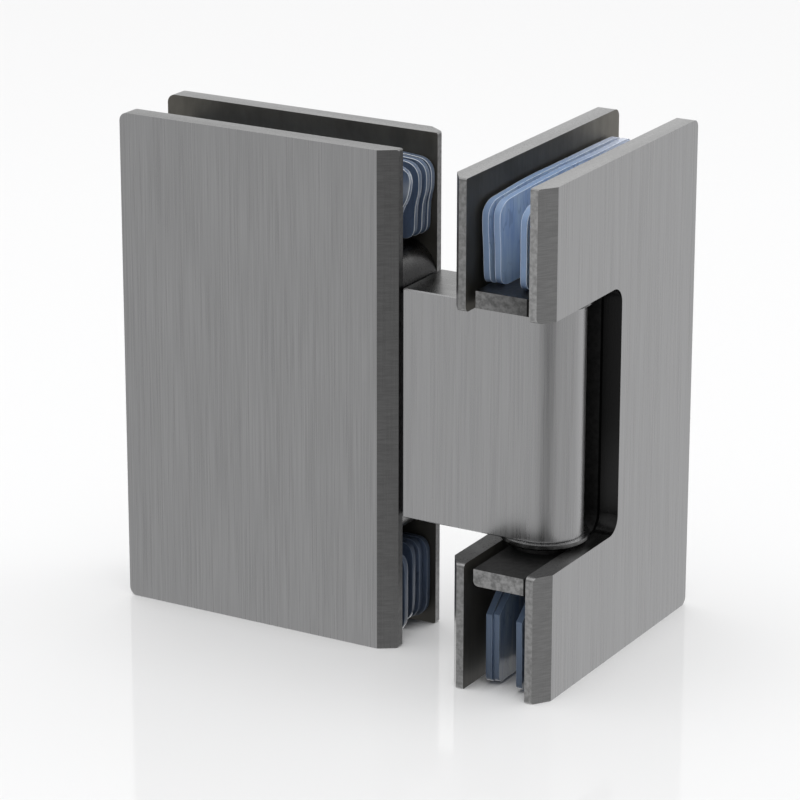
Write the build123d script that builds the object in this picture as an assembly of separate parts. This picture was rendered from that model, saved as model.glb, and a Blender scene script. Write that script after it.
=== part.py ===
from build123d import *
import os

# Glass door hinge for two panes that meet at a right angle. Each pane is held by a clamp of two plates.
# The fixed clamp runs along -X and the door clamp along +Y, and both stand on the ground plane Z = 0.
# All sizes are millimetres.

# Clamp plates, the same four blanks
PLATE_HEIGHT = 90.0
PLATE_WIDTH = 55.0
PLATE_THICKNESS = 3.5
PLATE_NEAR_CORNER = 0.4  # beside the pivot
PLATE_FAR_CORNER = 1.5
BEVEL_WIDTH = 3.1  # of the bevel beside the pivot, across the plate's outer face
BEVEL_DEPTH = 2.1  # of the same bevel, into the plate's thickness
GLASS_SPACE = 11.8  # between the two plates of a clamp

# Pivot axis
FIXED_SETBACK = 24.7  # axis to the near edge of the fixed plates
DOOR_OVERHANG = 17.8  # the door plates reach this far past the axis
CUT_HEIGHT = 44.4  # of the opening in the door plates that the block stands in
CUT_CORNER = 3.0
CUT_BACK_GAP = 2.5  # between the block's round end and the back wall of the cut
CUT_LIP_ROUND = 0.9  # where the cut runs out at the plate's near edge

# Block and core, one casting
BLOCK_THICKNESS = 13.4
BLOCK_EDGE = 0.2
SHOULDER_GAP = 0.4  # between the block and the edges of the fixed plates
CORE_REACH = 38.5  # from a plate's near edge to the far side of the core
CORE_CORNER = 6.5

# Yoke
YOKE_THICKNESS = 10.4
YOKE_SETBACK = 0.8  # behind the plate's edges, all round the cut and at the lug ends
LUG_THICKNESS = 3.0
LUG_ROUND = 0.9  # under the lower lug, beside the inner plate

# Pin, bushes and thrust washers
PIN_RADIUS = 4.0
PIN_END_BEVEL = 0.4
PIN_FLAT = 3.6  # axis to each flat that the leaves bear on
PIN_FLAT_RUNOUT = 0.3  # the flats reach this far past the leaves
PIN_KEY_FLAT = 3.3  # axis to each flat of the keyed lower end
RUNNING_CLEARANCE = 0.05
BUSH_WALL = 1.2
BUSH_LENGTH = 6.0
FLANGE_RADIUS = 7.7
FLANGE_THICKNESS = 1.0
FLANGE_EDGE = 0.35
FLANGE_GAP = 0.5  # between a flange and the edge of the cut above or below it
WASHER_RADIUS = 5.6

# Leaf springs
LEAF_COUNT = 3
LEAF_THICKNESS = 0.45
LEAF_SPACING = 0.05
LEAF_WIDTH = 8.4
LEAF_END_GAP = 1.0
LEAF_BOW = 0.5
LEAF_SLOT_CLEARANCE = 0.15

# Screws
CLAMP_SCREW_RADIUS = 2.5
CLAMP_HEAD_RADIUS = 4.6
CLAMP_SCREW_GRIP = 9.0  # thread length in the core or yoke
HIDDEN_SCREW_RADIUS = 2.0
HIDDEN_HEAD_RADIUS = 3.6
HIDDEN_HEAD_HEIGHT = 2.2
HIDDEN_THREAD_DEPTH = 2.6  # in the outer plate, which stays closed outside
SOCKET_DEPTH = 2.0
SCREW_HOLE_PLAY = 0.3
CLAMP_SCREW_INSET = 10.0  # from the core's top and foot
HIDDEN_SCREW_SPREAD = 6.5  # above and below mid-height
FIXED_SCREW_SETBACK = 24.0  # from the near edge
DOOR_SCREW_SETBACK = 33.4

# Gaskets
GASKET_THICKNESS = 1.3
GASKET_TOP_GAP = 4.5  # below the plates' top edges
GASKET_LIFT = 0.3
GASKET_CORNER = 5.0
GASKET_FAR_GAP = 3.0
GASKET_CORE_GAP = 0.6

# Derived sizes
MID_HEIGHT = PLATE_HEIGHT / 2
HALF_SPACE = GLASS_SPACE / 2
BLOCK_RADIUS = BLOCK_THICKNESS / 2
CUT_REACH = BLOCK_RADIUS + CUT_BACK_GAP  # axis to the back wall of the door plates' cut
BLOCK_HEIGHT = CUT_HEIGHT - 2 * (FLANGE_THICKNESS + FLANGE_GAP)
BLOCK_TOP = MID_HEIGHT + BLOCK_HEIGHT / 2
OPENING_HEIGHT = CUT_HEIGHT + 2 * YOKE_SETBACK  # between the yoke's lugs
WASHER_THICKNESS = FLANGE_GAP + YOKE_SETBACK
CORE_HEIGHT = OPENING_HEIGHT + 2 * LUG_THICKNESS
CORE_TOP = MID_HEIGHT + CORE_HEIGHT / 2
CORE_FOOT = MID_HEIGHT - CORE_HEIGHT / 2
CLAMP_SCREW_SPREAD = CORE_HEIGHT / 2 - CLAMP_SCREW_INSET
BUSH_RADIUS = PIN_RADIUS + RUNNING_CLEARANCE + BUSH_WALL
WEB_FACE = CUT_REACH + YOKE_SETBACK
LEAF_PITCH = LEAF_THICKNESS + LEAF_SPACING
LEAF_LENGTH = BLOCK_HEIGHT - 2 * (BUSH_LENGTH + LEAF_END_GAP)
SLOT_DEPTH = LEAF_COUNT * LEAF_PITCH + LEAF_BOW + LEAF_SLOT_CLEARANCE
OUTER_FACE = HALF_SPACE + PLATE_THICKNESS

# The pieces are drawn about the pin's axis. The origin of the part is the middle of its footprint.
PIN_X = (FIXED_SETBACK + PLATE_WIDTH - OUTER_FACE) / 2
PIN_Y = (DOOR_OVERHANG - (PLATE_WIDTH - DOOR_OVERHANG)) / 2
PIN_AXIS = Pos(PIN_X, PIN_Y, 0)

# A clamp is drawn with its length along +X, its thickness along Y and the pin's axis at X = Y = 0.
FIXED = PIN_AXIS * Rot(0, 0, 180)
DOOR = PIN_AXIS * Rot(0, 0, 90)
FIXED_NEAR = FIXED_SETBACK
DOOR_NEAR = -DOOR_OVERHANG

pieces = {}


def slab(sketch, back, thickness):
    """A sketch of (length, height) made into a slab whose faces lie at Y = back and Y = back + thickness."""
    return Pos(0, back + thickness, 0) * Rot(90, 0, 0) * extrude(sketch, thickness)


def rectangle(x0, x1, z0, z1):
    return Pos((x0 + x1) / 2, (z0 + z1) / 2) * Rectangle(x1 - x0, z1 - z0)


def rounded(sketch, radius, keep=lambda v: True):
    """The sketch with the corners that keep() picks rounded."""
    return fillet([v for v in sketch.vertices() if keep(v)], radius)


def along_y(radius, length, x, y, z):
    """A cylinder from Y = y towards +Y."""
    return Pos(x, y + length / 2, z) * Rot(90, 0, 0) * Cylinder(radius, length)


def plate(near, side, cut):
    """One plate, on the +Y (side 1) or -Y (side -1) side of the pane. cut opens it round the block."""
    outline = rectangle(near, near + PLATE_WIDTH, 0, PLATE_HEIGHT)
    if cut:
        half = CUT_HEIGHT / 2
        opening = rectangle(near - 5, CUT_REACH, MID_HEIGHT - half, MID_HEIGHT + half)
        outline -= rounded(opening, CUT_CORNER, lambda v: v.X > near)
        lips = [v for v in outline.vertices() if abs(v.X - near) < 1e-6 and abs(v.Y - MID_HEIGHT) < half + 1]
        outline = fillet(lips, CUT_LIP_ROUND)
    middle = near + PLATE_WIDTH / 2
    for end, radius in ((-1, PLATE_NEAR_CORNER), (1, PLATE_FAR_CORNER)):
        corners = [v for v in outline.vertices() if end * (v.X - middle) > 0 and not 1 < v.Y < PLATE_HEIGHT - 1]
        outline = fillet(corners, radius)
    body = slab(outline, HALF_SPACE if side > 0 else -OUTER_FACE, PLATE_THICKNESS)
    wedge = Polyline((near, side * OUTER_FACE), (near + BEVEL_WIDTH, side * OUTER_FACE),
                     (near, side * (OUTER_FACE - BEVEL_DEPTH)), close=True)
    return body - extrude(make_face(wedge), PLATE_HEIGHT)


def headed(x, z, face, side, shank, head, length, sunk=True):
    """A shank and a head whose top is at Y = face and looks towards side. A sunk head is a cone."""
    height = head - shank if sunk else HIDDEN_HEAD_HEIGHT
    top = Cone(shank, head, height) if sunk else Cylinder(head, height)
    start = face - length if side > 0 else face
    top = Pos(x, face - side * height / 2, z) * Rot(-90 * side, 0, 0) * top
    return top + along_y(shank, length, x, start, z)


def screw(x, z, face, side, shank, head, length, sunk=True):
    """A hexagon socket screw, its head flush with Y = face."""
    key = Pos(x, face - side * SOCKET_DEPTH, z) * Rot(-90 * side, 0, 0)
    body = headed(x, z, face, side, shank, head, length, sunk)
    return body - key * extrude(RegularPolygon(shank * 0.62, 6), SOCKET_DEPTH)


def screw_heights(spread):
    return {"upper": MID_HEIGHT + spread, "lower": MID_HEIGHT - spread}


def hinge_body():
    """Core between the fixed plates and the block that reaches round the pin, cast in one."""
    core = rectangle(FIXED_NEAR, FIXED_NEAR + CORE_REACH, CORE_FOOT, CORE_TOP)
    core = slab(fillet(core.vertices(), CORE_CORNER), -HALF_SPACE, GLASS_SPACE)
    shoulder = FIXED_NEAR - SHOULDER_GAP
    plan = Circle(BLOCK_RADIUS) + Pos(shoulder / 2, 0) * Rectangle(shoulder, BLOCK_THICKNESS)
    block = Pos(0, 0, MID_HEIGHT - BLOCK_HEIGHT / 2) * extrude(plan, BLOCK_HEIGHT)
    rims = block.faces().filter_by(Axis.Z).edges()
    rims += block.faces().sort_by(Axis.X)[-1].edges().filter_by(Axis.Z)
    block = chamfer(rims, BLOCK_EDGE)
    neck_height = CORE_HEIGHT - 2 * CORE_CORNER
    neck = Pos(FIXED_NEAR, 0, MID_HEIGHT) * Box(2 * SHOULDER_GAP + 1, GLASS_SPACE, neck_height)
    body = core + block + neck

    slot_width = LEAF_WIDTH + 2 * LEAF_SLOT_CLEARANCE
    bore = Cylinder(BUSH_RADIUS, BLOCK_HEIGHT)
    bore += Pos(PIN_FLAT + SLOT_DEPTH / 2, 0, 0) * Box(SLOT_DEPTH, slot_width, BLOCK_HEIGHT)
    body -= Pos(0, 0, MID_HEIGHT) * bore

    x = FIXED_NEAR + FIXED_SCREW_SETBACK
    for z in screw_heights(CLAMP_SCREW_SPREAD).values():
        body -= along_y(CLAMP_SCREW_RADIUS, CLAMP_SCREW_GRIP + 1, x, -HALF_SPACE, z)
    for z in screw_heights(HIDDEN_SCREW_SPREAD).values():
        body -= headed(x, z, -HALF_SPACE, -1, HIDDEN_SCREW_RADIUS, HIDDEN_HEAD_RADIUS, GLASS_SPACE, False)
    return body


def yoke():
    """C-shaped piece on the door's outer plate: two lugs for the pin, and a web behind the block."""
    lug_end = DOOR_NEAR + YOKE_SETBACK
    inner_face = YOKE_THICKNESS - HALF_SPACE
    blank = rectangle(lug_end, DOOR_NEAR + CORE_REACH, CORE_FOOT, CORE_TOP)
    body = slab(blank, -HALF_SPACE, YOKE_THICKNESS)
    inner_edges = body.edges().filter_by(Axis.X).filter_by(lambda e: e.center().Y > 0)
    body = fillet(inner_edges.sort_by(Axis.Z)[0], LUG_ROUND)
    half = OPENING_HEIGHT / 2
    opening = rectangle(lug_end - 5, WEB_FACE, MID_HEIGHT - half, MID_HEIGHT + half)
    outline = rounded(blank, CORE_CORNER, lambda v: v.X > 0)
    outline -= rounded(opening, CUT_CORNER + YOKE_SETBACK, lambda v: v.X > 0)
    body &= slab(outline, -HALF_SPACE, YOKE_THICKNESS)

    body -= Pos(0, 0, CORE_TOP - LUG_THICKNESS / 2) * Cylinder(PIN_RADIUS, LUG_THICKNESS)
    body -= Pos(0, 0, CORE_FOOT) * keyed_prism(LUG_THICKNESS)
    x = DOOR_NEAR + DOOR_SCREW_SETBACK
    for z in screw_heights(CLAMP_SCREW_SPREAD).values():
        body -= along_y(CLAMP_SCREW_RADIUS, CLAMP_SCREW_GRIP + 1, x, inner_face - CLAMP_SCREW_GRIP - 1, z)
    for z in screw_heights(HIDDEN_SCREW_SPREAD).values():
        body -= headed(x, z, inner_face, 1, HIDDEN_SCREW_RADIUS, HIDDEN_HEAD_RADIUS, YOKE_THICKNESS, False)
    return body


def keyed_prism(height):
    """The double-flat section of the pin's lower end, standing on Z = 0."""
    return extrude(Circle(PIN_RADIUS) & Rectangle(2 * PIN_KEY_FLAT, 2 * PIN_RADIUS), height)


def pivot_pin():
    """Turned pin, keyed into the lower lug, on which its shoulder rests. The leaves bear on one of four flats."""
    shaft_foot = CORE_FOOT + LUG_THICKNESS
    shaft = Pos(0, 0, (shaft_foot + CORE_TOP) / 2) * Cylinder(PIN_RADIUS, CORE_TOP - shaft_foot)
    shaft = chamfer(shaft.edges().group_by(Axis.Z)[-1], PIN_END_BEVEL)
    pin = shaft + Pos(0, 0, CORE_FOOT) * keyed_prism(LUG_THICKNESS)
    length = LEAF_LENGTH + 2 * PIN_FLAT_RUNOUT
    for turn in range(4):
        flat = Pos(PIN_FLAT + 1, 0, MID_HEIGHT) * Box(2, 2 * PIN_RADIUS, length)
        pin -= Rot(0, 0, 90 * turn) * flat
    return pin


def bush(end):
    """Flanged bush in the top (end 1) or foot (end -1) of the block. Its flange shows as a ring."""
    bore = PIN_RADIUS + RUNNING_CLEARANCE
    tube = Pos(0, 0, -BUSH_LENGTH / 2) * Cylinder(BUSH_RADIUS, BUSH_LENGTH)
    flange = Pos(0, 0, FLANGE_THICKNESS / 2) * Cylinder(FLANGE_RADIUS, FLANGE_THICKNESS)
    flange = chamfer(flange.edges().group_by(Axis.Z)[-1], FLANGE_EDGE)
    body = tube + flange - Cylinder(bore, 2 * (BUSH_LENGTH + FLANGE_THICKNESS))
    if end < 0:
        body = Rot(180, 0, 0) * body
    return Pos(0, 0, MID_HEIGHT + end * BLOCK_HEIGHT / 2) * body


def thrust_washer(end):
    """Thin ring between a bush flange and the lug next to it."""
    ring = Circle(WASHER_RADIUS) - Circle(PIN_RADIUS + 2 * RUNNING_CLEARANCE)
    low = BLOCK_TOP + FLANGE_THICKNESS if end > 0 else CORE_FOOT + LUG_THICKNESS
    return Pos(0, 0, low) * extrude(ring, WASHER_THICKNESS)


def spring_leaf(number):
    """One bowed leaf of the pack. Number 1 bears on the pin's flat."""
    x = PIN_FLAT + LEAF_SPACING + (number - 1) * LEAF_PITCH
    low, high = MID_HEIGHT - LEAF_LENGTH / 2, MID_HEIGHT + LEAF_LENGTH / 2
    near = ThreePointArc((x + LEAF_BOW, low), (x, MID_HEIGHT), (x + LEAF_BOW, high))
    back = x + LEAF_THICKNESS
    far = ThreePointArc((back + LEAF_BOW, high), (back, MID_HEIGHT), (back + LEAF_BOW, low))
    ends = [Line(near @ 1, far @ 0), Line(far @ 1, near @ 0)]
    return slab(make_face([near, far, *ends]), -LEAF_WIDTH / 2, LEAF_WIDTH)


def gasket(near, back, setback):
    """C-shaped soft sheet. Its upper arm rests on the core, and its arms end behind the plate's near edge."""
    top = PLATE_HEIGHT - GASKET_TOP_GAP
    far = near + PLATE_WIDTH - GASKET_FAR_GAP
    notch = near + CORE_REACH + GASKET_CORE_GAP
    sill = CORE_FOOT - GASKET_CORE_GAP
    tip = near + setback
    outline = rectangle(tip, far, GASKET_LIFT, top) - rectangle(tip - 5, notch, sill, CORE_TOP)
    arm_tops = [v for v in outline.vertices() if v.X < tip + 1 and (v.Y > top - 1 or abs(v.Y - sill) < 1)]
    outline = fillet(arm_tops, GASKET_CORNER)
    return slab(outline, back, GASKET_THICKNESS)


def clamp_screws(name, frame, near, setback, side, gap):
    """Screws through the hidden-side plate into the core or yoke, and that plate's holes."""
    holes = Part()
    for level, z in screw_heights(CLAMP_SCREW_SPREAD).items():
        length = PLATE_THICKNESS + gap + CLAMP_SCREW_GRIP
        spot = (near + setback, z, side * OUTER_FACE, side)
        body = screw(*spot, CLAMP_SCREW_RADIUS, CLAMP_HEAD_RADIUS, length)
        pieces[f"{name}_clamp_screw_{level}"] = frame * body
        holes += headed(*spot, CLAMP_SCREW_RADIUS + SCREW_HOLE_PLAY, CLAMP_HEAD_RADIUS + SCREW_HOLE_PLAY,
                        PLATE_THICKNESS)
    return holes


def hidden_screws(name, frame, near, setback, side, seat):
    """Screws from the core or yoke into the outer plate, and that plate's blind holes."""
    holes = Part()
    for level, z in screw_heights(HIDDEN_SCREW_SPREAD).items():
        length = HALF_SPACE + side * seat + HIDDEN_THREAD_DEPTH
        body = screw(near + setback, z, seat, side, HIDDEN_SCREW_RADIUS, HIDDEN_HEAD_RADIUS, length, False)
        pieces[f"{name}_screw_{level}"] = frame * body
        tip = seat - side * length
        holes += along_y(HIDDEN_SCREW_RADIUS, length, near + setback, min(seat, tip), z)
    return holes


def fixed_clamp():
    pieces["hinge_body"] = FIXED * hinge_body()
    holes = clamp_screws("fixed", FIXED, FIXED_NEAR, FIXED_SCREW_SETBACK, -1, 0)
    blind = hidden_screws("fixed_core", FIXED, FIXED_NEAR, FIXED_SCREW_SETBACK, -1, -HALF_SPACE)
    pieces["fixed_front_plate"] = FIXED * (plate(FIXED_NEAR, 1, False) - blind)
    pieces["fixed_rear_plate"] = FIXED * (plate(FIXED_NEAR, -1, False) - holes)
    for level, end in (("upper", 1), ("lower", -1)):
        pieces[f"bush_{level}"] = PIN_AXIS * bush(end)
    for number in range(1, LEAF_COUNT + 1):
        pieces[f"spring_leaf_{number}"] = FIXED * spring_leaf(number)
    for number, back in enumerate((-HALF_SPACE, -4.3, -2.4), start=1):
        pieces[f"fixed_rear_gasket_{number}"] = FIXED * gasket(FIXED_NEAR, back, 0.3 + 0.2 * number)
    pieces["fixed_front_gasket"] = FIXED * gasket(FIXED_NEAR, 3.3, 0.3)


def door_clamp():
    gap = GLASS_SPACE - YOKE_THICKNESS
    pieces["yoke"] = DOOR * yoke()
    holes = clamp_screws("door", DOOR, DOOR_NEAR, DOOR_SCREW_SETBACK, 1, gap)
    blind = hidden_screws("door_yoke", DOOR, DOOR_NEAR, DOOR_SCREW_SETBACK, 1, HALF_SPACE - gap)
    pieces["door_outer_plate"] = DOOR * (plate(DOOR_NEAR, -1, True) - blind)
    pieces["door_inner_plate"] = DOOR * (plate(DOOR_NEAR, 1, True) - holes)
    pieces["pivot_pin"] = DOOR * pivot_pin()
    for level, end in (("upper", 1), ("lower", -1)):
        pieces[f"thrust_washer_{level}"] = PIN_AXIS * thrust_washer(end)
    for number, back in enumerate((HALF_SPACE - GASKET_THICKNESS, 2.7), start=1):
        pieces[f"door_inner_gasket_{number}"] = DOOR * gasket(DOOR_NEAR, back, 4.6 + 0.2 * number)
    pieces["door_outer_gasket"] = DOOR * gasket(DOOR_NEAR, -2.8, 4.8)


fixed_clamp()
door_clamp()
os.makedirs("parts", exist_ok=True)
for name, piece in pieces.items():
    export_step(piece, f"parts/{name}.step")
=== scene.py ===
import math

import bmesh
import bpy
from mathutils import Matrix, Vector


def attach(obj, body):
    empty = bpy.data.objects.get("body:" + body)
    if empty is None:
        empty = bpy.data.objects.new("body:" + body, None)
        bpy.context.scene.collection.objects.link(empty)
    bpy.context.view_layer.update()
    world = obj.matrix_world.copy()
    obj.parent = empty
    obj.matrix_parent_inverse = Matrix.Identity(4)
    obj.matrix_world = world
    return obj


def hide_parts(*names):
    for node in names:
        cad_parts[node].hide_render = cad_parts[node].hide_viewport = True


MM = 0.001
X, Y, Z = 0, 1, 2
RIGHT, BACK, UP = (1, 0, 0), (0, 1, 0), (0, 0, 1)
LEFT, FRONT, DOWN = (-1, 0, 0), (0, -1, 0), (0, 0, -1)
WHITE = (1.0, 1.0, 1.0)

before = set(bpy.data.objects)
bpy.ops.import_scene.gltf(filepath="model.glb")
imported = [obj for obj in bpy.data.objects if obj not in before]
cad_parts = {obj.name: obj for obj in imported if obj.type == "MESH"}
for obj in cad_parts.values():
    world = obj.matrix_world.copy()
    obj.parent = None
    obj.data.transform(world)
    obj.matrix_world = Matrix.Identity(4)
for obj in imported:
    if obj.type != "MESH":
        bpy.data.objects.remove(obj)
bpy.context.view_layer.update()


def heading(azimuth, elevation=0):
    """Unit vector towards an azimuth (0 in front, 90 at the right) and elevation, in degrees."""
    a, e = math.radians(azimuth), math.radians(elevation)
    return Vector((math.sin(a) * math.cos(e), -math.cos(a) * math.cos(e), math.sin(e)))


def new_object(name, data):
    made = bpy.data.objects.new(name, data)
    bpy.context.scene.collection.objects.link(made)
    return made


def new_mesh_object(name, mesh, material):
    """An object with the faces of a bmesh, which is used up."""
    data = bpy.data.meshes.new(name)
    mesh.to_mesh(data)
    mesh.free()
    data.materials.append(material)
    return new_object(name, data)


# Camera, as fitted to the photograph: metres and degrees

CAMERA_PLACE = (0.31425, -0.54276, 0.2496)
CAMERA_AZIMUTH, CAMERA_ELEVATION, CAMERA_ROLL = 29.998, 18.551, 0.076
FOCAL_PIXELS, PICTURE_PIXELS = 3740.3, 800
SENSOR_MM = 36


def add_camera():
    back = heading(CAMERA_AZIMUTH, CAMERA_ELEVATION)
    right = Vector(UP).cross(back).normalized()
    up = back.cross(right)
    roll = math.radians(CAMERA_ROLL)
    rolled_right = math.cos(roll) * right + math.sin(roll) * up
    rolled_up = math.cos(roll) * up - math.sin(roll) * right
    turn = Matrix((rolled_right, rolled_up, back)).transposed().to_4x4()
    camera = new_object("camera", bpy.data.cameras.new("camera"))
    camera.matrix_world = Matrix.Translation(CAMERA_PLACE) @ turn
    camera.data.sensor_width = SENSOR_MM
    camera.data.lens = FOCAL_PIXELS * SENSOR_MM / PICTURE_PIXELS
    camera.data.clip_start, camera.data.clip_end = 0.01, 20
    bpy.context.scene.camera = camera


# Shader building

def node(tree, kind, inputs=None, **settings):
    """A new shader node. inputs maps its sockets to values, or to sockets to link from."""
    made = tree.nodes.new("ShaderNode" + kind)
    for key, value in settings.items():
        setattr(made, key, value)
    for key, value in (inputs or {}).items():
        if isinstance(value, bpy.types.NodeSocket):
            tree.links.new(value, made.inputs[key])
        else:
            made.inputs[key].default_value = value
    return made


def new_material(name, **sockets):
    """A material with numbers on its shader's sockets, whose names have _ for a space."""
    material = bpy.data.materials.new(name)
    material.use_nodes = True
    shader = material.node_tree.nodes["Principled BSDF"]
    for key, value in sockets.items():
        shader.inputs[key.replace("_", " ")].default_value = value
    return material, material.node_tree, shader


def feed(tree, shader, **sockets):
    """Links patterns to the shader's sockets, whose names have _ for a space."""
    for key, value in sockets.items():
        tree.links.new(value, shader.inputs[key.replace("_", " ")])


def place(tree):
    return node(tree, "TexCoord").outputs["Object"]


def coordinate(tree, axis):
    """The object coordinate along axis, in metres."""
    return node(tree, "SeparateXYZ", {0: place(tree)}).outputs[axis]


def noise(tree, scale, detail, rough):
    """Noise whose cells measure 1 / scale metres along each axis."""
    where = node(tree, "Mapping", {"Vector": place(tree), "Scale": scale}).outputs[0]
    inputs = {"Vector": where, "Scale": 1.0, "Detail": detail, "Roughness": rough}
    return node(tree, "TexNoise", inputs).outputs[0]


def ramp(tree, value, low, high, out_low=0.0, out_high=1.0):
    """Goes smoothly from out_low to out_high while value goes from low to high."""
    inputs = {"Value": value, "From Min": low, "From Max": high,
              "To Min": out_low, "To Max": out_high}
    return node(tree, "MapRange", inputs, interpolation_type="SMOOTHSTEP").outputs[0]


def contrast(tree, pattern, out_low=0.0, out_high=1.0):
    """Stretches noise, which keeps near 0.5, to the range from out_low to out_high."""
    return ramp(tree, pattern, 0.3, 0.7, out_low, out_high)


def maths(tree, operation, a, b=0.0):
    return node(tree, "Math", {0: a, 1: b}, operation=operation).outputs[0]


def times(tree, a, b):
    return maths(tree, "MULTIPLY", a, b)


def scaled(tree, colour, factor):
    return node(tree, "VectorMath", {0: colour, "Scale": factor}, operation="SCALE").outputs[0]


def cosine(tree, vector, direction):
    made = node(tree, "VectorMath", {0: vector, 1: direction}, operation="DOT_PRODUCT")
    return made.outputs["Value"]


def blend(tree, factor, a, b):
    """Colour a where factor is 0, and colour b where it is 1."""
    a, b = (c if isinstance(c, bpy.types.NodeSocket) else (*c, 1) for c in (a, b))
    return node(tree, "Mix", {0: factor, 6: a, 7: b}, data_type="RGBA").outputs[2]


def grey(value, tint=WHITE):
    return tuple(value * t for t in tint)


def mottled(tree, pattern, level, spread, tint=WHITE):
    """A grey level that differs with pattern by up to spread, a share of it, either way."""
    low, high = grey(level * (1 - spread), tint), grey(level * (1 + spread), tint)
    return blend(tree, contrast(tree, pattern), low, high)


def normal_cosine(tree, direction):
    """The cosine between the piece's own normal and direction."""
    return cosine(tree, node(tree, "TexCoord").outputs["Normal"], direction)


def facing(tree, direction, low=0.75, high=0.92):
    """1 on faces of the piece that look along direction, to within the cosines low and high."""
    return ramp(tree, normal_cosine(tree, direction), low, high)


def level_faces(tree):
    """1 on faces of the piece that look straight up or down."""
    return maths(tree, "ADD", facing(tree, UP), facing(tree, DOWN))


def within(tree, axis, low, high, soft=0.0001):
    """1 where the object coordinate along axis lies between low and high."""
    value = coordinate(tree, axis)
    above = ramp(tree, value, low - soft, low + soft)
    return times(tree, above, ramp(tree, value, high - soft, high + soft, 1.0, 0.0))


def seen(tree, *kinds):
    """1 for rays of the named kinds, as the Light Path node names them."""
    path = node(tree, "LightPath")
    total = path.outputs[kinds[0]]
    for kind in kinds[1:]:
        total = maths(tree, "MAXIMUM", total, path.outputs[kind])
    return total


def add_bump(tree, shader, height, strength, distance):
    bump = node(tree, "Bump", {"Strength": strength, "Distance": distance, "Height": height})
    feed(tree, shader, Normal=bump.outputs[0])


# Metals. Places are object coordinates in metres, and levels are base colours.

GUNMETAL = (1.0, 1.0, 1.012)
PLATE_LEVEL, BLOCK_LEVEL = 0.308, 0.35  # of the brushed faces
BEVEL_SIDE, BEVEL_END = 0.828, 0.561  # the bevel's direction: its parts along outer and along near
NEAR_END_SHADE_Z = (0.0, 0.045)  # where the end beside the pivot brightens upwards, out of painted shade at its foot
INNER_TINT = (1.05, 1.0, 0.88)
INNER_SHADE_Y, INNER_SHADE_Z = (0.004, 0.024), (0.002, 0.024)  # where painted shade on the inner face changes along it and upwards
CUT_Y, CUT_Z = (-0.0272, -0.0003), (0.02285, 0.06715)  # the opening in the door clamp's plates
CUT_SHADE_Z = (0.030, 0.045)  # where the painted shade on the opening's sides darkens upwards
CORE_X = (0.0103, 0.0107)  # where the core ends and the block begins
LUG_END_Y, UPPER_LUG_Z = (-0.030, -0.022), (0.045, 0.080)
UPPER_LUG_SHADE_X = (0.030, 0.0405)  # where painted shade makes the upper lug's end grow darker
JOINT_SHADOW_X = (0.0402, 0.0420)  # where a painted shadow lines the yoke's rim against the outer plate


def upright_grain(tree):
    """Fine upright brush strokes, with a little unevenness across the piece."""
    fine = noise(tree, (3400, 3400, 45), 3.0, 0.6)
    wide = noise(tree, (420, 420, 14), 2.0, 0.5)
    return maths(tree, "ADD", times(tree, fine, 0.8), times(tree, wide, 0.2))


def brush_finish(tree, shader, grain, rough, dull=0.0, strength=0.2):
    """Bump and roughness of the brush strokes. Where dull is 1, the surface is rougher."""
    strokes = contrast(tree, grain, rough - 0.04, rough + 0.04)
    feed(tree, shader, Roughness=maths(tree, "ADD", strokes, times(tree, dull, 0.2)))
    add_bump(tree, shader, grain, strength, 0.00002)


def plate_metal(name, outer, near, levels, foot, inner, cut):
    """A clamp plate: brushed outer face, milled edges, dull inner face.

    Its bevel and its end beside the pivot are ground. outer and near are the directions of the
    outer face and of that end. levels are those of the edges, the end and the bevel, and foot is
    the share of the end's level that painted shade leaves at its foot. inner are the inner face's
    levels at the pivot's end and at the other: its own dark tone with painted shade of the gap.
    With cut, the sides of the opening round the block get painted shade.
    """
    edge_level, end_level, bevel_level = levels
    material, tree, shader = new_material(name, Anisotropic=0.3)
    grain = upright_grain(tree)
    speckle = noise(tree, (1500, 1500, 1500), 3.0, 0.6)
    scratches = noise(tree, (300, 300, 4200), 3.0, 0.65)
    cloudy = noise(tree, (260, 260, 120), 4.0, 0.6)
    outside = facing(tree, outer)
    colour = blend(tree, outside, mottled(tree, speckle, edge_level, 0.10),
                   mottled(tree, grain, PLATE_LEVEL, 0.12, GUNMETAL))

    # Painted shade: the end beside the pivot darkens towards its foot.
    end = scaled(tree, mottled(tree, speckle, end_level, 0.22),
                 ramp(tree, coordinate(tree, Z), *NEAR_END_SHADE_Z, foot, 1.0))
    colour = blend(tree, facing(tree, near), colour, end)
    bevel = tuple(BEVEL_SIDE * a + BEVEL_END * b for a, b in zip(outer, near))
    ground = mottled(tree, scratches, bevel_level, 0.12)
    colour = blend(tree, facing(tree, bevel, 0.93, 0.97), colour, ground)

    inside = facing(tree, tuple(-v for v in outer))
    # The inner face: its own dark tone, with painted shade of the gap, darker towards its foot and,
    # where the inner levels differ, at the pivot's end.
    level = times(tree, ramp(tree, coordinate(tree, Y), *INNER_SHADE_Y, *inner),
                  ramp(tree, coordinate(tree, Z), *INNER_SHADE_Z, 0.3, 1.0))
    level = times(tree, level, contrast(tree, cloudy, 0.85, 1.15))
    colour = blend(tree, inside, colour, scaled(tree, INNER_TINT, level))

    if cut:
        # Painted shade on the sides of the opening round the block, darker upwards.
        opening = times(tree, within(tree, Z, *CUT_Z), within(tree, Y, *CUT_Y))
        sides = times(tree, opening, maths(tree, "SUBTRACT", 1.0, outside))
        shade = scaled(tree, WHITE, ramp(tree, coordinate(tree, Z), *CUT_SHADE_Z, 0.075, 0.04))
        colour = blend(tree, sides, colour, shade)
    feed(tree, shader, Base_Color=colour, Metallic=ramp(tree, inside, 0.0, 1.0, 1.0, 0.8))
    brush_finish(tree, shader, grain, 0.30, inside)
    return material


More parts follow.
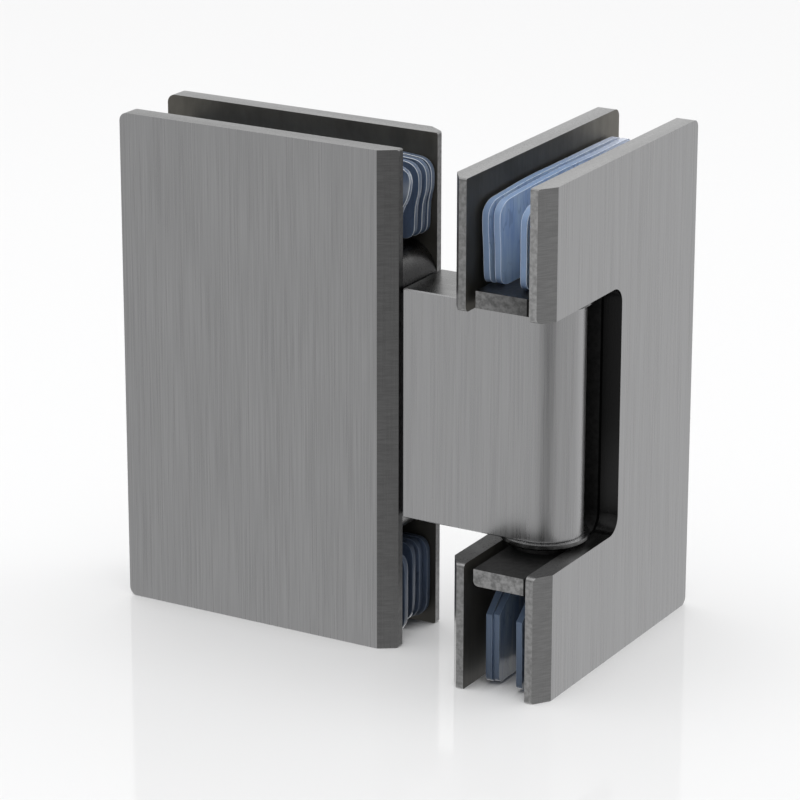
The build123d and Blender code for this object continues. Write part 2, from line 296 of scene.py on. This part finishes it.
def block_metal():
    """Brushed upright on the block's sides, milled on its ends, and dull and dark on the core: its
    own tone with painted shade of the gap between the plates.
    """
    material, tree, shader = new_material("block", Metallic=1.0, Anisotropic=0.3)
    grain = upright_grain(tree)
    milled = noise(tree, (180, 2400, 180), 2.0, 0.6)
    cloudy = noise(tree, (260, 260, 260), 4.0, 0.6)
    block = blend(tree, level_faces(tree), mottled(tree, grain, BLOCK_LEVEL, 0.08, GUNMETAL),
                  mottled(tree, milled, 0.21, 0.15))
    # The core between the fixed plates is darker: its own dull tone with painted shade of the gap.
    beyond_core = ramp(tree, coordinate(tree, X), *CORE_X)
    feed(tree, shader, Base_Color=blend(tree, beyond_core, mottled(tree, cloudy, 0.12, 0.2), block))
    brush_finish(tree, shader, grain, 0.29, strength=0.1)
    return material


def yoke_metal():
    """Cast dull metal with sawn ends; painted shade darkens the upper end towards the outer plate
    and darkens the cast faces, and a painted shadow lines the joint beside that plate.
    """
    material, tree, shader = new_material("yoke", Metallic=1.0, Roughness=0.45)
    blotches = noise(tree, (1100, 1100, 1100), 4.0, 0.65)
    # Painted shade: the upper lug's sawn end darkens towards the outer plate.
    darker = ramp(tree, coordinate(tree, X), *UPPER_LUG_SHADE_X, 0.25, 0.65)
    upper_lug_shade = times(tree, within(tree, Z, *UPPER_LUG_Z), darker)
    sawn = blend(tree, upper_lug_shade, mottled(tree, blotches, 0.26, 0.35), grey(0.03))
    ends = times(tree, facing(tree, FRONT), within(tree, Y, *LUG_END_Y))
    # Faces other than the sawn ends: their dull cast tone, made darker with painted shade of the
    # lug tops between the plates.
    colour = blend(tree, ends, mottled(tree, blotches, 0.09, 0.2), sawn)
    # Painted shadow: a dark line in the joint beside the outer plate.
    colour = blend(tree, within(tree, X, *JOINT_SHADOW_X, soft=0.00005), colour, grey(0.01))
    feed(tree, shader, Base_Color=colour)
    add_bump(tree, shader, blotches, 0.3, 0.00004)
    return material


def flange_metal():
    """Turned metal, polished on the flat faces of the flanges."""
    material, tree, shader = new_material("bush", Metallic=1.0)
    mottle = noise(tree, (900, 900, 900), 4.0, 0.6)
    colour = blend(tree, level_faces(tree), mottled(tree, mottle, 0.13, 0.2),
                   mottled(tree, mottle, 0.6, 0.1))
    feed(tree, shader, Base_Color=colour, Roughness=contrast(tree, mottle, 0.2, 0.3))
    return material


def plain_metal(name, level, rough):
    """Turned or rolled metal with a fine mottle."""
    material, tree, shader = new_material(name, Metallic=1.0)
    mottle = noise(tree, (900, 900, 900), 4.0, 0.6)
    feed(tree, shader, Base_Color=mottled(tree, mottle, level, 0.2),
         Roughness=contrast(tree, mottle, rough * 0.8, rough * 1.2))
    add_bump(tree, shader, mottle, 0.2, 0.00004)
    return material


def dress(material, *names):
    for name in names:
        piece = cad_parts[name]
        piece.data.materials.clear()
        piece.data.materials.append(material)


# Soft plastic of the gaskets

PALE_BAND_Z = (0.070, 0.074, 0.080)  # where a paler band on the upper arms begins, is full and ends
FAR_LIGHT_Y = (-0.005, 0.027)  # where painted light turns the door clamp's sheets to their far colour
SHADE_Z, FOOT_SHADE_Z = (0.020, 0.072), (0.0, 0.018)  # where painted shade lifts and the sheets brighten upwards
ARRIS_HIGHLIGHT_Z = (0.012, 0.072)  # where the painted highlight on the arrises grows upwards
# The painted highlight on the sheets' arrises, and the colour of the painted light that makes them
# shine.
PAINTED_ARRIS_HIGHLIGHT, PAINTED_ARRIS_GLOW = (0.93, 0.97, 1.0), (0.85, 0.92, 1.0, 1)


def soft_plastic(name, across, faces, edges, low, rim, painted_glow, far=None):
    """Clear bluish sheet, with painted shade towards the foot and a painted highlight along its
    arrises.

    across is the direction of its thickness. faces are the two colours of its broad faces, edges
    is the colour of its edges, far is the paler colour that painted light turns it to away from the
    pivot, and low is the share of its colour that painted shade leaves low down. rim are the
    cosines to across between which the painted highlight begins and between which it ends, and
    painted_glow is painted light that makes its arrises shine.
    """
    material, tree, shader = new_material(
        name, IOR=1.45, Specular_IOR_Level=0.25, Emission_Color=PAINTED_ARRIS_GLOW)
    broad = maths(tree, "ABSOLUTE", normal_cosine(tree, across))
    height = coordinate(tree, Z)

    haze = noise(tree, (620, 620, 70), 4.0, 0.6)
    sheet = blend(tree, contrast(tree, haze), *faces)
    folds = maths(tree, "SUBTRACT", noise(tree, (420, 420, 110), 1.0, 0.5), 0.5)
    creases = ramp(tree, maths(tree, "ABSOLUTE", folds), 0.0, 0.02, 0.3, 0.0)
    sheet = blend(tree, creases, sheet, grey(0.4, faces[0]))
    pale_band = times(tree, ramp(tree, height, *PALE_BAND_Z[:2]),
                  ramp(tree, height, *PALE_BAND_Z[1:], 0.5, 0.0))
    sheet = blend(tree, pale_band, sheet, faces[1])
    colour = blend(tree, ramp(tree, broad, 0.4, 0.9), edges, sheet)
    # Painted light: away from the pivot the sheets turn to their paler far colour.
    if far:
        colour = blend(tree, ramp(tree, coordinate(tree, Y), *FAR_LIGHT_Y, 0.0, 0.8), colour, far)
    # Painted shade: the sheets darken low down, and more just above the floor.
    shade = times(tree, ramp(tree, height, *SHADE_Z, low, 1.0),
                  ramp(tree, height, *FOOT_SHADE_Z, 0.6, 1.0))

    # Painted highlight along the arrises, faint near the foot, with painted light that makes them
    # shine where painted_glow is set.
    arris = times(tree, ramp(tree, broad, *rim[:2]), ramp(tree, broad, *rim[2:], 1.0, 0.0))
    white = times(tree, arris, ramp(tree, height, *ARRIS_HIGHLIGHT_Z, 0.05, 1.0))
    feed(tree, shader, Base_Color=blend(tree, white, scaled(tree, colour, shade), PAINTED_ARRIS_HIGHLIGHT),
         Emission_Strength=times(tree, white, painted_glow),
         Transmission_Weight=ramp(tree, arris, 0.0, 1.0, 0.3, 0.0),
         Roughness=contrast(tree, haze, 0.10, 0.22))
    ripples = noise(tree, (300, 300, 90), 2.0, 0.5)
    add_bump(tree, shader, ripples, 0.4, 0.0002)
    return material


# Gaskets: soft sheets round the core and the yoke, a little wavy, which lean between the plates.
# Lengths here are millimetres: u along the clamp from the pin, t through its thickness, z up.

PIN_X, PIN_Y = 35.15, -9.7
PLATE_WIDTH, PLATE_HEIGHT = 55.0, 90.0
CORE_REACH = 38.5  # of the core and the yoke, from the plates' ends beside the pivot
CORE_GAP, FAR_GAP = 0.6, 3.0  # from a sheet to the core, and to the plates' far ends
SHEET_TOP = PLATE_HEIGHT - 4.0
SHEET_THICKNESS, ARRIS = 1.15, 0.32  # ARRIS is how much of its edges is broken
FAR_CORNER = (1.5, 1.5)  # radii
TIP_MARKS = (0, 0.4, 1, 1.8, 2.8, 4.2, 6, 8)  # mesh lines, from the upper arm's near edge
MAX_STEP = 4.5  # between two mesh lines
LOWER_REACH = 20  # how far from the near edge the lower arm is set back differently
STEP_Z, STEP_HALF, STEP_REACH = 79.4, 0.7, 6  # below STEP_Z the upper arm's near edge steps back
SAG_Z, CURL_Z, CURL_REACH = (76, SHEET_TOP), (77, 85), 14
WAVE, WAVE_U, WAVE_Z = 0.12, 0.31, 0.23  # its height, and radians for each millimetre
SLACK = 0.01  # for comparing lengths


def fixed_place(u, t, z):
    return Vector((PIN_X - u, PIN_Y - t, z)) * MM


def door_place(u, t, z):
    return Vector((PIN_X - t, PIN_Y + u, z)) * MM


# Each clamp's sheets: the body that they ride on, how they are placed, the plates' end beside the
# pivot (near), how far down and along their upper corner sags, the heights of their foot (low) and
# of the opening between their arms (from sill to under), and the radii of the corners at the near
# edge, along and up.
FIXED_SHEETS = {
    "body": "fixed_clamp", "place": fixed_place, "near": 24.7, "sag": (0.5, 6),
    "low": 1.2, "sill": 16.4, "under": 72.0,
    "foot_corner": (3.3, 3.3), "sill_corner": (2.4, 2.4), "sill_straight": False,
    "under_corner": (2.4, 2.2), "top_corner": (2.5, 2.7),
    # Same plastic as the door clamp's sheets, set darker and greyer here: painted shade of the gap
    # between the fixed plates.
    "plastic": soft_plastic(
        "gasket_fixed", BACK, faces=((0.12, 0.17, 0.27), (0.22, 0.29, 0.43)),
        edges=(0.19, 0.25, 0.36), low=0.95, rim=(0.10, 0.30, 0.88, 0.99), painted_glow=0.0)}
DOOR_SHEETS = {
    "body": "door_clamp", "place": door_place, "near": -17.8, "sag": (0.8, 14),
    "low": 0.5, "sill": 18.3, "under": 71.05,
    "foot_corner": (1.2, 1.2), "sill_corner": (7.0, 5.4), "sill_straight": True,
    "under_corner": (2.6, 1.7), "top_corner": (3.4, 2.4),
    "plastic": soft_plastic(
        "gasket_door", RIGHT, faces=((0.41, 0.56, 0.86), (0.68, 0.84, 1.0)),
        edges=(0.35, 0.49, 0.74), low=0.58, rim=(0.03, 0.18, 0.94, 0.997), painted_glow=0.32,
        far=(0.80, 0.85, 0.97))}


def stations(marks):
    """The marks, with even points between them no more than MAX_STEP apart."""
    points = []
    for a, b in zip(marks, marks[1:]):
        count = max(1, math.ceil((b - a) / MAX_STEP))
        points += [a + (b - a) * k / count for k in range(count)]
    return points + [marks[-1]]


def turn_corner(u, z, corner, radii, inward, straight=False):
    """Moves a point near a corner, which becomes a quarter of an ellipse or is cut off straight."""
    a = 1 - (u - corner[0]) * inward[0] / radii[0]
    b = 1 - (z - corner[1]) * inward[1] / radii[1]
    if not (0 < a <= 1.001 and 0 < b <= 1.001):
        return u, z
    if straight:
        a, b = a * (1 - b / 2), b * (1 - a / 2)
    else:
        a, b = a * math.sqrt(1 - b * b / 2), b * math.sqrt(1 - a * a / 2)
    return corner[0] + inward[0] * radii[0] * (1 - a), corner[1] + inward[1] * radii[1] * (1 - b)


def smooth_step(value, low, high):
    k = min(1.0, max(0.0, (value - low) / (high - low)))
    return k * k * (3 - 2 * k)


def add_gasket(name, clamp, setbacks, across, phase, step, curl):
    """A C-shaped sheet.

    setbacks are those of its upper and its lower arm from the plates' near ends, and across is its
    place in the thickness at the top and at the foot. phase shifts its waves, step is how far the
    upper arm's near edge steps back, and curl is how far that arm's corner curls to the back.
    """
    body, near = clamp["body"], clamp["near"]
    tip, far = near + setbacks[0], near + PLATE_WIDTH - FAR_GAP
    notch = near + CORE_REACH + CORE_GAP
    low, sill, under, top = clamp["low"], clamp["sill"], clamp["under"], SHEET_TOP
    us = stations([tip + d for d in TIP_MARKS] + [notch - 1, notch, notch + 1]
                  + [far - d for d in (1.5, 0.5, 0)])
    zs = stations([low + d for d in (0, 0.4, 1.1, 2, 3.3)]
                  + [sill - d for d in (5.3, 3.4, 1.8, 0.7, 0)]
                  + [under + d for d in (0, 0.4, 1, 2)] + [STEP_Z - 1, STEP_Z + 1]
                  + [top - d for d in (3.4, 2.2, 1.2, 0.5, 0)])
    corners = (((tip, top), clamp["top_corner"], (1, -1)),
               ((tip, under), clamp["under_corner"], (1, 1)),
               ((tip, sill), clamp["sill_corner"], (1, -1), clamp["sill_straight"]),
               ((tip, low), clamp["foot_corner"], (1, 1)),
               ((far, top), FAR_CORNER, (-1, -1)),
               ((far, low), FAR_CORNER, (-1, 1)))
    mesh = bmesh.new()
    grid = {}

    def point(i, j):
        if (i, j) in grid:
            return grid[i, j]
        u, z = us[i], zs[j]
        for corner in corners:
            u, z = turn_corner(u, z, *corner)
        beside = u - tip

        def fade(reach):
            return max(0.0, 1 - beside / reach)

        if z < sill + SLACK:
            u += (setbacks[1] - setbacks[0]) * fade(LOWER_REACH)
        elif z > under - SLACK:
            above_step = smooth_step(z, STEP_Z - STEP_HALF, STEP_Z + STEP_HALF)
            u += step * (1 - above_step) * fade(STEP_REACH)
        sag, sag_reach = clamp["sag"]
        z -= sag * smooth_step(z, *SAG_Z) * fade(sag_reach)
        t = across[1] + (across[0] - across[1]) * z / PLATE_HEIGHT
        t += WAVE * math.sin(WAVE_U * u + phase) * math.cos(WAVE_Z * z + 2 * phase)
        t -= curl * smooth_step(z, *CURL_Z) * fade(CURL_REACH)
        grid[i, j] = mesh.verts.new(clamp["place"](u, t, z))
        return grid[i, j]

    for i in range(len(us) - 1):
        for j in range(len(zs) - 1):
            between_arms = sill - SLACK <= zs[j] and zs[j + 1] <= under + SLACK
            if between_arms and us[i + 1] <= notch + SLACK:
                continue
            mesh.faces.new([point(i, j), point(i + 1, j), point(i + 1, j + 1), point(i, j + 1)])
    piece = new_mesh_object(name, mesh, clamp["plastic"])
    for face in piece.data.polygons:
        face.use_smooth = True
    solid = piece.modifiers.new("thickness", "SOLIDIFY")
    solid.thickness, solid.offset = SHEET_THICKNESS * MM, 0
    rim = piece.modifiers.new("rim", "BEVEL")
    rim.width, rim.segments = ARRIS * MM, 2
    rim.limit_method, rim.angle_limit = "ANGLE", math.radians(50)
    smooth = piece.modifiers.new("smooth", "SUBSURF")
    smooth.levels = smooth.render_levels = 1
    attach(piece, body)
    return piece


# Floor, lamps and world

FLOOR_HALF = 3.0
FLOOR_COLOUR, FLOOR_WHITE = (0.90, 0.90, 0.905, 1), (0.955, 0.955, 0.955, 1)
FLOOR_SHARE = 0.33  # of that white in the floor's look, next to its real shading
CONTACT_SHADOW = 0.012  # how near the object has to be for painted contact shadow to darken the white
LAMP_TARGET, LAMP_DISTANCE = Vector((0, 0, 0.045)), 0.9

# The studio's sides: azimuth in degrees, the cosines where one begins and is full, and its level
LOW_SIDES = ((-25, 0.1, 0.85, 0.80), (95, 0.5, 0.92, 0.74), (33, 0.84, 0.93, 0.38))
HIGH_SIDES = ((20, -0.2, 0.4, 0.5),)
HORIZON = (-0.02, 0.10)  # the rise between which the low sides give way to the high ones


def add_floor():
    """A pale glossy floor, whitened where the object isn't near, with painted contact shadow close
    to it.
    """
    material, tree, shader = new_material(
        "floor", Roughness=0.06, IOR=1.45, Base_Color=FLOOR_COLOUR)
    # Painted contact shadow: the white dims where ambient occlusion finds the object near.
    clear = node(tree, "AmbientOcclusion", {"Distance": CONTACT_SHADOW}, samples=8).outputs["AO"]
    strength = ramp(tree, clear, 0.15, 0.65)
    white = node(tree, "Emission", {"Color": FLOOR_WHITE, "Strength": strength})
    looking = seen(tree, "Is Camera Ray", "Is Glossy Ray", "Is Transmission Ray")
    share = times(tree, looking, FLOOR_SHARE)
    lit = node(tree, "MixShader", {0: share, 1: shader.outputs[0], 2: white.outputs[0]})
    tree.links.new(lit.outputs[0], tree.nodes["Material Output"].inputs["Surface"])
    mesh = bmesh.new()
    bmesh.ops.create_grid(mesh, x_segments=8, y_segments=8, size=FLOOR_HALF)
    floor = new_mesh_object("floor", mesh, material)
    floor.visible_glossy = False


def add_lamp(name, azimuth, elevation, size, power):
    """A square soft light that looks at the object."""
    away = heading(azimuth, elevation)
    data = bpy.data.lights.new(name, "AREA")
    data.shape, data.size, data.energy = "SQUARE", size, power
    lamp = new_object(name, data)
    lamp.location = LAMP_TARGET + away * LAMP_DISTANCE
    lamp.rotation_mode = "QUATERNION"
    lamp.rotation_quaternion = away.to_track_quat("Z", "Y")
    return lamp


def add_world():
    """A pale studio, low down dimmer in front and at the right and dark in a gap between them.

    Metal mirrors the white behind the object and the dimmer sides in front. For the camera and
    through the sheets it is white all round.
    """
    world = bpy.data.worlds.new("world")
    bpy.context.scene.world = world
    world.use_nodes = True
    tree = world.node_tree
    way = node(tree, "TexCoord").outputs["Generated"]

    def studio(sides):
        shade = WHITE
        for azimuth, begin, full, level in sides:
            side = ramp(tree, cosine(tree, way, heading(azimuth)), begin, full)
            shade = blend(tree, side, shade, grey(level))
        return shade

    rise = node(tree, "SeparateXYZ", {0: way}).outputs[Z]
    shade = blend(tree, ramp(tree, rise, *HORIZON), studio(LOW_SIDES), studio(HIGH_SIDES))
    shade = blend(tree, seen(tree, "Is Camera Ray", "Is Transmission Ray"), shade, WHITE)
    tree.links.new(shade, tree.nodes["Background"].inputs["Color"])


# The scene

add_camera()

# Name, outer face, end beside the pivot, levels, the foot's share, inner levels, whether it is cut
# The four plates are one metal: their edge, end and bevel levels differ between them as painted
# light and shade.
for name, outer, near, levels, foot, inner, cut in (
        ("fixed_front_plate", FRONT, RIGHT, (0.22, 0.12, 0.172), 0.5, (0.12, 0.12), False),
        ("fixed_rear_plate", BACK, RIGHT, (0.26, 0.26, 0.20), 0.6, (0.12, 0.12), False),
        ("door_outer_plate", RIGHT, FRONT, (0.32, 0.31, 0.20), 0.8, (0.12, 0.12), True),
        ("door_inner_plate", LEFT, FRONT, (0.30, 0.22, 0.20), 1.0, (0.085, 0.16), True)):
    dress(plate_metal(name, outer, near, levels, foot, inner, cut), name)
dress(block_metal(), "hinge_body")
dress(yoke_metal(), "yoke")
dress(flange_metal(), "bush_upper", "bush_lower")
dress(plain_metal("washer", 0.06, 0.5), "thrust_washer_upper", "thrust_washer_lower")
dress(plain_metal("pin", 0.4, 0.3), "pivot_pin")
dress(plain_metal("spring", 0.35, 0.3), *(f"spring_leaf_{n}" for n in (1, 2, 3)))
dress(plain_metal("screw", 0.09, 0.35), *(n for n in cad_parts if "_screw_" in n))

# CAD name, clamp, setbacks, across, phase, step, curl
for cad_name, clamp, setbacks, across, phase, step, curl in (
        ("fixed_rear_gasket_1", FIXED_SHEETS, (0.3, 1.0), (-5.05, -5.05), 0.4, 0.75, 0.0),
        ("fixed_rear_gasket_2", FIXED_SHEETS, (0.45, 1.7), (-3.5, -3.5), 0.9, 0.85, 0.0),
        ("fixed_rear_gasket_3", FIXED_SHEETS, (0.8, 1.85), (-1.45, -1.45), 1.6, 0.8, 0.0),
        ("fixed_front_gasket", FIXED_SHEETS, (0.3, 0.3), (3.95, 3.95), 2.2, 1.3, 1.8),
        ("door_inner_gasket_1", DOOR_SHEETS, (4.0, 3.9), (4.6, 2.95), 0.2, 0.25, 0.0),
        ("door_inner_gasket_2", DOOR_SHEETS, (4.2, 4.4), (2.5, 1.85), 1.2, 0.3, 0.0),
        ("door_outer_gasket", DOOR_SHEETS, (3.4, 3.2), (-2.95, -3.1), 2.5, 0.2, 0.0)):
    piece = add_gasket(cad_name + "_sheet", clamp, setbacks, across, phase, step, curl)
    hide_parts(cad_name)

add_floor()
add_lamp("lamp_left", -50, 45, 0.6, 0.6)
add_lamp("lamp_right", 125, 40, 0.6, 0.6)
add_lamp("lamp_top", 0, 88, 0.7, 2.9).visible_glossy = False
add_world()
bpy.context.scene.view_settings.view_transform = "Standard"
